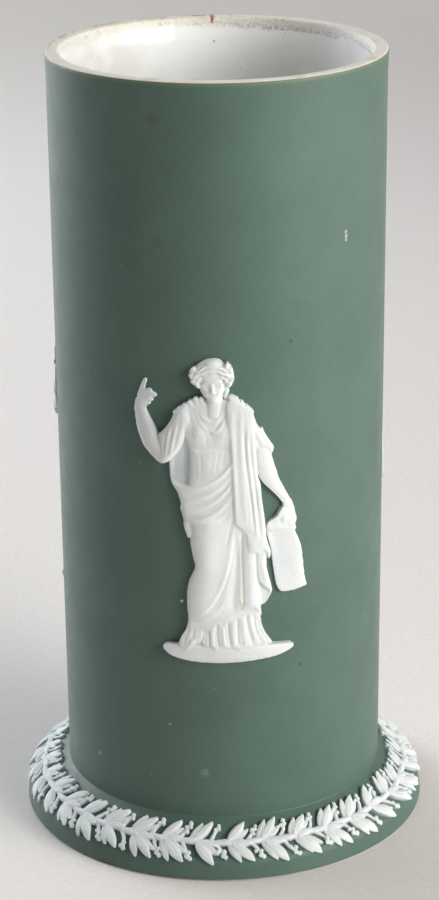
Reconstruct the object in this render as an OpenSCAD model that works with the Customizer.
// Spill vase: a coated stoneware cylinder on a flanged foot, with pressed relief figures and a laurel border.
// Units are millimetres. The foot stands on z = 0 and the front figure faces -Y.

/* [Vase] */
// Height from the table to the rim
vase_h = 152; // [125:1:200]
// Outside diameter of the coated wall just under the rim's lip
rim_d = 63.2; // [58:0.2:72]
// Outside diameter of the coated wall where it meets the foot
waist_d = 62.4; // [58:0.2:72]
// Outward flare of the rim's lip
lip = 0.2; // [0:0.05:0.6]
// Height over which the lip flares
lip_h = 4; // [2:0.5:10]
// Thickness of the white wall
wall_t = 2.2; // [1.6:0.1:4]
// Thickness of the green coat
coat_t = 0.5; // [0.3:0.05:0.8]
// Thickness of the glaze inside
glaze_t = 0.3; // [0.2:0.05:0.6]
// Bevel between the rim's flat top and the bore
rim_bevel = 0.5; // [0.2:0.1:1]

/* [Foot] */
// Diameter of the foot over its coat, at the table
foot_d = 79.7; // [74:0.1:88]
// How far the foot's upright edge leans in from the table to its top
edge_lean = 0.5; // [0:0.1:1]
// Height of the foot's upright edge
foot_edge_h = 4.1; // [3.4:0.1:5.5]
// Height at which the foot's slope would meet the wall
foot_h = 9.3; // [8:0.1:13]
// Rounding over the foot's edge
foot_round = 1.4; // [0.9:0.1:2]
// Hollow rounding between the slope and the wall
cove_r = 1.2; // [0.5:0.1:2.5]
// Bevel at the foot's lower edge
foot_bevel = 0.5; // [0.3:0.1:0.9]
// Depth of the recess under the floor
recess_h = 1.5; // [0.8:0.1:2.5]
// Thickness of the floor disc
floor_t = 4.5; // [3:0.1:5]

/* [Figures] */
// Height of the figures' ground above the table
ground_z = 42; // [25:0.5:58]
// Height of a figure with its ground
figure_h = 60.4; // [45:0.2:64]
// Thickness of the relief's thickest cloth
relief_t = 2.3; // [1.8:0.1:3]
// Angle from one figure to the next
figure_step = 120; // [95:1:130]

/* [Laurel border] */
// Number of leaf groups in one length
laurel_groups = 3; // [2:1:4]
// Length of a leaf
leaf_l = 5.6; // [4.4:0.1:6]
// Width of a leaf
leaf_w = 2.3; // [1.6:0.1:3]
// Thickness of a leaf at its crown
leaf_t = 0.9; // [0.6:0.1:1.4]
// Width of the stem
stem_w = 1.4; // [0.8:0.1:2]
// Diameter of a berry
berry_d = 1.1; // [0.7:0.1:1.5]

/* [Hidden] */
$fn = 64;
// Number of pressed lengths round the foot, one node each
laurel_lengths = 12;
white = [0.87, 0.87, 0.84];
bare = [0.84, 0.81, 0.74];
green = [0.33, 0.41, 0.37];
glaze = [0.92, 0.92, 0.90];

rim_r = rim_d / 2;
waist_r = waist_d / 2;
foot_r = foot_d / 2;
nose_r = foot_r - edge_lean;
// The foot's slope, as an angle from level
slope = atan2(foot_h - foot_edge_h, nose_r - waist_r);
// Length of the cove's tangent up the wall, and the height where foot and wall meet
cove_up = cove_r * tan((90 - slope) / 2);
joint_z = foot_h + cove_up;
// The coat stops this far above the table, where the foot's bevel ends
coat_z = foot_bevel;
floor_z = recess_h + floor_t;
lip_z = vase_h - lip_h;
bore_d_cut = coat_t + wall_t;

// Radius of the coated wall at height z, without the lip
function wall_r(z) = waist_r + (rim_r - waist_r) * (z - joint_z) / (lip_z - joint_z);

// Points of an arc of radius r that rounds the corner p between a and b
function rounded(a, p, b, r, n = 6) =
  let (
    d1 = (a - p) / norm(a - p),
    d2 = (b - p) / norm(b - p),
    half = acos(d1 * d2) / 2,
    mid = (d1 + d2) / norm(d1 + d2),
    c = p + mid * r / sin(half),
    s = p + d1 * r / tan(half) - c,
    e = p + d2 * r / tan(half) - c,
    turn = acos(s * e / (r * r)),
    side = sign(s.x * e.y - s.y * e.x)
  )
  [for (i = [0:n]) c + [
    s.x * cos(side * turn * i / n) - s.y * sin(side * turn * i / n),
    s.x * sin(side * turn * i / n) + s.y * cos(side * turn * i / n)
  ]];

// The foot's outline from its lower edge to the wall, moved inwards by c
function foot_line(c, z0) =
  let (
    nose = [nose_r - c, foot_edge_h - c / cos(slope) + c * tan(slope)],
    hip = [waist_r - c, foot_h - c / cos(slope) + c * tan(slope)]
  )
  concat(
    [[foot_r - c, z0]],
    rounded([foot_r - c, 0], nose, hip, foot_round - c),
    rounded(nose, hip, [waist_r - c, vase_h], cove_r + c),
    [[waist_r - c, joint_z]]
  );

// The wall's outline from the foot to the rim, moved inwards by c
function wall_line(c) = [[waist_r - c, joint_z], [rim_r - c, lip_z], [rim_r + lip - c, vase_h]];
// The bore's outline from the floor to the rim, moved inwards by c
function bore_line(c) = [
  [waist_r - bore_d_cut - c, joint_z],
  [rim_r - bore_d_cut - c, lip_z],
  [rim_r + lip - bore_d_cut - c, vase_h - rim_bevel]
];
function reversed(p) = [for (i = [len(p) - 1:-1:0]) p[i]];

module vase_wall() color(bare) rotate_extrude() polygon(concat(
  wall_line(coat_t),
  [[rim_r + lip - bore_d_cut + rim_bevel, vase_h]],
  reversed(bore_line(0))
));

module base_disc() color(white)
  translate([0, 0, recess_h]) cylinder(h = floor_t, r = waist_r - bore_d_cut);

module foot_flange() color(white) rotate_extrude() polygon(concat(
  [[waist_r - bore_d_cut, 0], [foot_r - coat_t - foot_bevel, 0]],
  foot_line(coat_t, coat_z),
  [[waist_r - bore_d_cut, joint_z]]
));

module wall_coat() color(green) rotate_extrude() polygon(concat(wall_line(0), reversed(wall_line(coat_t))));

module foot_coat() color(green)
  rotate_extrude() polygon(concat(foot_line(0, coat_z), reversed(foot_line(coat_t, coat_z))));

module glaze_lining() color(glaze) rotate_extrude() polygon(concat(
  [[0, floor_z], [waist_r - bore_d_cut, floor_z]],
  bore_line(0),
  reversed(bore_line(glaze_t)),
  [[waist_r - bore_d_cut - glaze_t, floor_z + glaze_t], [0, floor_z + glaze_t]]
));

// Figures are drawn flat: u is millimetres round the wall to the viewer's right, v millimetres above their ground.
drawn_h = 60.4;
// No figure is drawn further than this from its middle, with room behind the coat to spare
drawn_half_w = 22;
fig_k = figure_h / drawn_h;
fig_r = wall_r(ground_z + figure_h / 2);
function fig_z(v) = ground_z + v * fig_k;
function fig_a(u) = u * fig_k / fig_r * 180 / PI;
// A drawn point as seen square on
function seen(p) = [fig_r * sin(fig_a(p[0])), fig_z(p[1])];

// Curves: a third number of 1 makes a point a corner, n is the number of steps from point to point
function flat(p) = [p[0], p[1]];
function is_corner(p) = len(p) > 2 && p[2] == 1;
function tangent(a, p, b) = is_corner(p) ? [0, 0] : (flat(b) - flat(a)) / 2;
function step_on(p, q, m, k, t) =
  flat(p) * (2 * t * t * t - 3 * t * t + 1) + m * (t * t * t - 2 * t * t + t)
  + flat(q) * (3 * t * t - 2 * t * t * t) + k * (t * t * t - t * t);
function closed_curve(p, n = 2) =
  let (c = len(p))
  [for (i = [0:c - 1]) for (j = [0:n - 1])
    step_on(
      p[i], p[(i + 1) % c],
      tangent(p[(i + c - 1) % c], p[i], p[(i + 1) % c]),
      tangent(p[i], p[(i + 1) % c], p[(i + 2) % c]),
      j / n
    )];
function open_curve(p, n = 3) =
  let (c = len(p))
  concat(
    [for (i = [0:c - 2]) for (j = [0:n - 1])
      step_on(
        p[i], p[i + 1],
        tangent(p[max(i - 1, 0)], p[i], p[i + 1]),
        tangent(p[i], p[i + 1], p[min(i + 2, c - 1)]),
        j / n
      )],
    [flat(p[c - 1])]
  );
// A stroke along a curve, w wide in its middle and a third of that at its ends
function stroke(p, w, n = 3) =
  let (
    q = open_curve(p, n),
    c = len(q),
    dirs = [for (i = [0:c - 1]) q[min(i + 1, c - 1)] - q[max(i - 1, 0)]],
    across = [for (d = dirs) [-d.y, d.x] / norm(d)],
    half = [for (i = [0:c - 1]) w / 2 * (1 / 3 + 2 / 3 * sin(180 * i / (c - 1)))]
  )
  concat(
    [for (i = [0:c - 1]) q[i] + across[i] * half[i]],
    [for (i = [c - 1:-1:0]) q[i] - across[i] * half[i]]
  );

// All that lies within w of the coat, over the figures' height
module under(w)
  translate([0, 0, joint_z])
    cylinder(h = lip_z - joint_z, r1 = waist_r + w, r2 = rim_r + w);
// An outline cut through the wall, from behind the coat outwards
module through(outline)
  translate([0, -fig_r * cos(fig_a(drawn_half_w)), 0])
    rotate([90, 0, 0])
      linear_extrude(height = fig_r / 2)
        polygon([for (p = outline) seen(p)]);
module sheet(outline, w) intersection() {
  through(closed_curve(outline));
  under(w);
}
module folds(lines, w) intersection() {
  union() for (f = lines) through(stroke(f[0], f[1]));
  under(w);
}
// The outline of a limb from drawn point p to q, with half widths r1 and r2 and round ends of n steps
function limb_outline(p, q, r1, r2, n = 5) =
  let (along = atan2(q.y - p.y, q.x - p.x))
  concat(
    [for (i = [0:n]) q + r2 * [cos(along - 90 + 180 * i / n), sin(along - 90 + 180 * i / n)]],
    [for (i = [0:n]) p + r1 * [cos(along + 90 + 180 * i / n), sin(along + 90 + 180 * i / n)]]
  );
// Round forms are stepped: each step is [share of the width, height as a share of the relief]
limb_steps = [[1, 0.44], [0.76, 0.67], [0.45, 0.84]];
leg_steps = [[1, 0.73], [0.72, 0.83], [0.42, 0.9]];
module limbs(list, steps) for (k = steps) intersection() {
  union() for (l = list) through(limb_outline(l[0], l[1], l[2] * k[0], l[3] * k[0]));
  under(relief_t * k[1]);
}

ground_line = [
  [-10.9, 3.3], [-10.3, 3.8], [-8.4, 4.2], [0, 4.4], [8.8, 4.1], [12.6, 3.4], [13.1, 2.6],
  [12.6, 1.5], [10.2, 0.8], [5, 0.4], [0, 0.2], [-5, 0.4], [-8.6, 1.1], [-10.4, 2.2]
];
gown_line = [
  [-9, 36.4], [-8.2, 34.8], [-7.4, 32.6], [-7.2, 30.4], [-6.8, 28.2], [-6.5, 26.6], [-6, 25.2, 1],
  [-5.6, 24.4], [-5.1, 21.4], [-4.8, 19.8, 1], [-5.6, 17.6], [-6.3, 14.8], [-6.4, 12], [-6.2, 9.4],
  [-6.5, 7.4], [-7.3, 5.6], [-8.1, 3.6, 1], [0, 3.2], [9.1, 3.8, 1], [7.9, 5.9], [7.1, 8.4],
  [7, 11.4, 1], [8.2, 12.4], [9.1, 14.2], [8.6, 16.6], [8.1, 19.6], [8, 24], [7.7, 28.8],
  [7.2, 32.4], [6.6, 37], [2, 40.6, 1], [-0.4, 38.2], [-3, 36.8], [-6, 36]
];
torso_line = [
  [-2.4, 51.8], [-4, 52.8], [-5.2, 52.2], [-6.4, 51.4], [-7.8, 50.4], [-7.8, 48], [-6.4, 45.4],
  [-5.6, 42.4], [-5.7, 39], [-6, 35.6, 1], [-2, 35.4], [2, 37, 1], [2.4, 46], [2, 52, 1], [0.4, 52.2], [-1, 51]
];
cloak_line = [
  [1.1, 51.4], [1.9, 52.6], [3, 52.1], [4.3, 51.3], [5.4, 50.5], [5.8, 49.3], [6, 45], [6.3, 40],
  [6.8, 36], [7.3, 32], [7.9, 27.6], [8.4, 24], [8.6, 21, 1], [7.6, 22.3], [5, 22.3, 1], [4.3, 25.8, 1],
  [2.3, 28.2, 1], [2.1, 32], [1.8, 38], [1.4, 45]
];
pouch_line = [
  [-5.8, 44.4], [-5.2, 40], [-5.4, 35.2, 1], [-8, 34.9], [-9.1, 36.6], [-9.3, 39], [-9.1, 41], [-7.6, 43]
];
left_sleeve_line = [
  [-6.4, 51], [-8, 50.2], [-9.4, 47.2], [-11.2, 45, 1], [-10.7, 42.6], [-10.8, 39.6, 1],
  [-9.6, 40.1], [-8.4, 41.4], [-7.2, 43], [-6.2, 45.4], [-5.6, 48.4]
];
right_sleeve_line = [
  [5, 49.8], [5.9, 49], [6.6, 47], [7.4, 46.6], [7.9, 45.4], [9.5, 42.8], [9.2, 41.6, 1], [8, 42], [5.6, 42, 1]
];
scroll_line = [
  [8.3, 25.2], [8.2, 26.8], [9.4, 28.2], [13.8, 27.2], [13.7, 25.6], [14.6, 23], [15.2, 19.5],
  [15.5, 16.4], [15.9, 14.4, 1], [13.2, 13.7], [11.2, 13.7], [10.3, 14.8], [9.8, 17], [9.4, 20.6], [8.9, 23.4]
];
hair_line = [
  [-1.2, 60.4], [-3, 59.9], [-4.4, 58.9], [-5.3, 57.6], [-5.2, 56], [-4.4, 54.9], [-3.2, 53.6], [-1.7, 52.8],
  [0, 53.4], [1.2, 54.6], [2.1, 55.6], [2.4, 57], [2.1, 58.5], [1.2, 59.6], [0.2, 60.2]
];
// Folds as [points, width]: those of the cloak, of the cloth round the hips, and of the skirt
cloak_folds = [
  [[[2.2, 51.6], [2.5, 44], [2.9, 36], [3.3, 28.6]], 1.6],
  [[[3.9, 50.6], [4, 43], [4.5, 35], [5.2, 24]], 1.5],
  [[[5.2, 49.4], [5.5, 42], [6.3, 33], [7.5, 23.6]], 1.3]
];
hip_folds = [
  [[[-8.6, 35.4], [-5, 35], [-2, 36.4], [1.6, 39.6]], 1.5],
  [[[-7.2, 32.6], [-4.4, 31.8], [-1.4, 33.8], [1.7, 37]], 1.3],
  [[[-6.8, 29.6], [-4, 29], [-1, 30.8], [1.8, 34]], 1.3],
  [[[-5.7, 24], [-5.2, 26.6], [-3, 28], [0, 28.6]], 1]
];
skirt_folds = [
  [[[2.1, 28], [1.2, 20], [-0.6, 14.6], [-3.2, 11.2], [-6, 9.8]], 1.6],
  [[[2.9, 25.6], [2.7, 18], [2.5, 10.4]], 1.5],
  [[[5.2, 21.6], [5.2, 16], [5.3, 10.8]], 2],
  [[[6.9, 20], [7.4, 15.4], [7.2, 12]], 1.2]
];
// The under-gown's pleats run from the upper cloth's hem to the ground
hem_top = 7.6;
hem_low = 3;
pleats = [for (i = [0:7]) let (u = -5.8 + 1.75 * i) [[[u, hem_top], [u * 1.2, hem_low]], 1.1]];

// Head, hair and neck, the same on each figure
head_at = [-1.5, 56.4];
function about(p, c, k) = [for (q = p) c + k * (flat(q) - c)];
function oval(c, a, b, n = 16) = [for (i = [0:n - 1]) c + [a * cos(360 * i / n), b * sin(360 * i / n)]];
module head() {
  limbs([[[-1.1, 53.4], [-1.1, 50.2], 1.7, 1.9]], limb_steps);
  sheet(hair_line, relief_t * 0.76);
  sheet(about(hair_line, head_at, 0.8), relief_t * 0.96);
  sheet(oval(head_at - [0.1, 0.6], 2.3, 2.9), relief_t * 1.05);
  sheet(oval(head_at - [0.1, 0.6], 1.5, 2.1), relief_t * 1.13);
}
module dressed_body() {
  sheet(ground_line, relief_t * 0.9);
  sheet(gown_line, relief_t * 0.62);
  sheet(torso_line, relief_t * 0.7);
  sheet(cloak_line, relief_t * 0.8);
  sheet(pouch_line, relief_t * 0.3);
  folds(cloak_folds, relief_t);
  folds(hip_folds, relief_t * 0.93);
  folds(skirt_folds, relief_t * 0.86);
  folds(pleats, relief_t * 0.78);
  limbs([[[-2.9, 27.4], [-2.7, 20.4], 2.6, 2.4], [[-2.7, 20.4], [-3.7, 9], 2.4, 2.2]], leg_steps);
  head();
}
// One pressed figure: what stands on the wall, without the wall
module sprig(turn) color(white) rotate([0, 0, turn]) difference() {
  union() children();
  under(0);
}

module figure_front() sprig(0) {
  dressed_body();
  sheet(left_sleeve_line, relief_t * 0.9);
  sheet(right_sleeve_line, relief_t * 0.66);
  sheet(scroll_line, relief_t * 0.45);
  limbs([
    [[-12, 42], [-14.9, 49.6], 1.9, 1],
    [[-14.8, 50], [-14, 52.2], 1, 1.25],
    [[-14.7, 52.4], [-14, 55.1], 0.6, 0.4],
    [[-13.6, 52.2], [-12.2, 52.5], 0.75, 0.5],
    [[7.9, 40.8], [11.2, 34.4], 1.9, 1.25],
    [[11.2, 34.4], [12.4, 31], 1.25, 0.85],
    [[12.4, 31], [12.2, 28], 0.85, 1.45],
    [[9.3, 26.6], [12.6, 26.4], 1.1, 1]
  ], limb_steps);
}

// A lyre: base, two horns and a bar
lyre_horns = [
  [[[11.4, 38.4], [8.6, 40.6], [8.4, 44.6], [9.6, 47.4], [8.8, 51.4]], 1.3],
  [[[11.8, 38.4], [14.6, 40.6], [14.8, 44.6], [13.6, 47.4], [14.4, 51.4]], 1.3],
  [[[8.2, 48.8], [11.6, 49.2], [15, 48.8]], 1]
];
lyre_base_line = [[9.6, 38.6], [11.6, 37], [13.6, 38.6], [13.2, 40.8], [11.6, 41.4], [10, 40.8]];
module figure_left() sprig(-figure_step) {
  mirror([1, 0, 0]) dressed_body();
  sheet(lyre_base_line, relief_t * 0.55);
  folds(lyre_horns, relief_t * 0.5);
  limbs([
    [[6.6, 48.6], [9, 40.2], 1.9, 1.5],
    [[9, 40.2], [12.4, 41.8], 1.5, 0.9],
    [[-6.6, 48.4], [-7.6, 41], 2, 1.6],
    [[-7.6, 41], [-1.2, 42.6], 1.5, 0.9]
  ], limb_steps);
}

// A wreath: a ring of leaves held in the lowered hand
wreath_at = [-13.2, 26.6];
wreath_r = 2.5;
wreath = [for (s = [0, 1]) [[for (i = [0:6])
  wreath_at + wreath_r * [cos(180 * s + 30 * i), sin(180 * s + 30 * i)]], 2]];
module figure_right() sprig(figure_step) {
  dressed_body();
  folds(wreath, relief_t * 0.55);
  limbs([
    [[-6.8, 48.4], [-10, 39.4], 2, 1.6],
    [[-10, 39.4], [-12.4, 31.6], 1.6, 0.9],
    [[-12.4, 31.6], [-12.9, 29.2], 0.95, 1.2],
    [[6.4, 48.2], [8.4, 40.2], 2, 1.6],
    [[8.4, 40.2], [3, 43.6], 1.5, 0.9]
  ], limb_steps);
}

// The border is drawn flat on the foot's slope: s is millimetres along the stem, t millimetres up the slope.
slope_l = (nose_r - waist_r) / cos(slope);
stem_t = slope_l * 0.4;
leaf_reach = slope_l * 0.37;
group_step = 360 / (laurel_lengths * laurel_groups);
length_step = 360 / laurel_lengths;
function slope_at(t, w) = [
  nose_r - t * cos(slope) + w * sin(slope),
  foot_edge_h + t * sin(slope) + w * cos(slope)
];
stem_r = slope_at(stem_t, 0).x;
// A drawn point seen from above, on the length that starts at a degrees
function from_above(a, p) =
  let (turn = a + p.x / stem_r * 180 / PI, r = slope_at(stem_t + p.y, 0).x)
  [r * sin(turn), -r * cos(turn)];
function turned(p, angle) = [p.x * cos(angle) - p.y * sin(angle), p.x * sin(angle) + p.y * cos(angle)];
// A leaf l long and w wide from base p, widest past its middle, with n points on each side
function leaf_outline(p, angle, l, w, n = 6) = [
  for (i = [0:2 * n - 1])
    let (
      k = i <= n ? i / n : 2 - i / n,
      y = w / 2 * pow(sin(180 * k), 0.8) * (0.8 + 0.4 * k) * (i <= n ? -1 : 1)
    )
    p + turned([l * k, y], angle)
];
function ring_outline(p, r, n = 8) = [for (i = [0:n - 1]) p + r * [cos(360 * i / n), sin(360 * i / n)]];
leaf_turn = asin(min(0.9, leaf_reach / leaf_l));
group_l = stem_r * group_step * PI / 180;
length_l = group_l * laurel_groups;
berry_turn = leaf_turn * 1.3;
berry_reach = (leaf_reach - berry_d / 2) / sin(berry_turn);
// The leaves of one length as [base, angle, length, width], on both sides of the stem
leaves = [
  for (k = [0:laurel_groups - 1]) for (side = [-1, 1]) for (j = [0, 1])
    [[group_l * (k + 0.05 + 0.14 * j), side * stem_w * 0.2], side * leaf_turn * (1 - 0.3 * j), leaf_l, leaf_w]
];
stalks = [
  for (k = [0:laurel_groups - 1]) for (side = [-1, 1])
    [[group_l * (k + 0.62), side * stem_w * 0.2], side * berry_turn]
];
module drawn(a, outline) polygon([for (p = outline) from_above(a, p)]);
module stem_band(a, w) drawn(a, concat(
  [for (i = [0:6]) [length_l * i / 6, -w / 2]],
  [for (i = [6:-1:0]) [length_l * i / 6, w / 2]]
));
// The slope as a cone that runs past both its ends, raised by w
module slope_cone(w) {
  low = slope_at(-3, w);
  high = slope_at(slope_l + 3, w);
  translate([0, 0, low.y]) cylinder(h = high.y - low.y, r1 = low.x, r2 = high.x);
}
module pressed(w) intersection() {
  linear_extrude(height = foot_h + 3) children();
  slope_cone(w);
}
module laurel(i) {
  a = i * length_step;
  color(white) difference() {
    union() {
      pressed(leaf_t * 0.6) {
        for (f = leaves) drawn(a, leaf_outline(f[0], f[1], f[2], f[3]));
        for (f = stalks) drawn(a, leaf_outline(f[0], f[1], berry_reach, berry_d * 0.8));
        stem_band(a, stem_w);
      }
      pressed(leaf_t) {
        for (f = leaves) drawn(a, leaf_outline(f[0], f[1], f[2] * 0.92, f[3] * 0.55));
        for (f = stalks) for (j = [0:2]) drawn(a, ring_outline(
          f[0] + turned([berry_reach * (0.56 + 0.22 * j), berry_d * 0.25 * (j - 1)], f[1]), berry_d / 2));
        stem_band(a, stem_w * 0.6);
      }
    }
    slope_cone(0);
  }
}
module laurel_01() laurel(0);
module laurel_02() laurel(1);
module laurel_03() laurel(2);
module laurel_04() laurel(3);
module laurel_05() laurel(4);
module laurel_06() laurel(5);
module laurel_07() laurel(6);
module laurel_08() laurel(7);
module laurel_09() laurel(8);
module laurel_10() laurel(9);
module laurel_11() laurel(10);
module laurel_12() laurel(11);

vase_wall();
base_disc();
foot_flange();
wall_coat();
foot_coat();
glaze_lining();
figure_front();
figure_left();
figure_right();
laurel_01();
laurel_02();
laurel_03();
laurel_04();
laurel_05();
laurel_06();
laurel_07();
laurel_08();
laurel_09();
laurel_10();
laurel_11();
laurel_12();
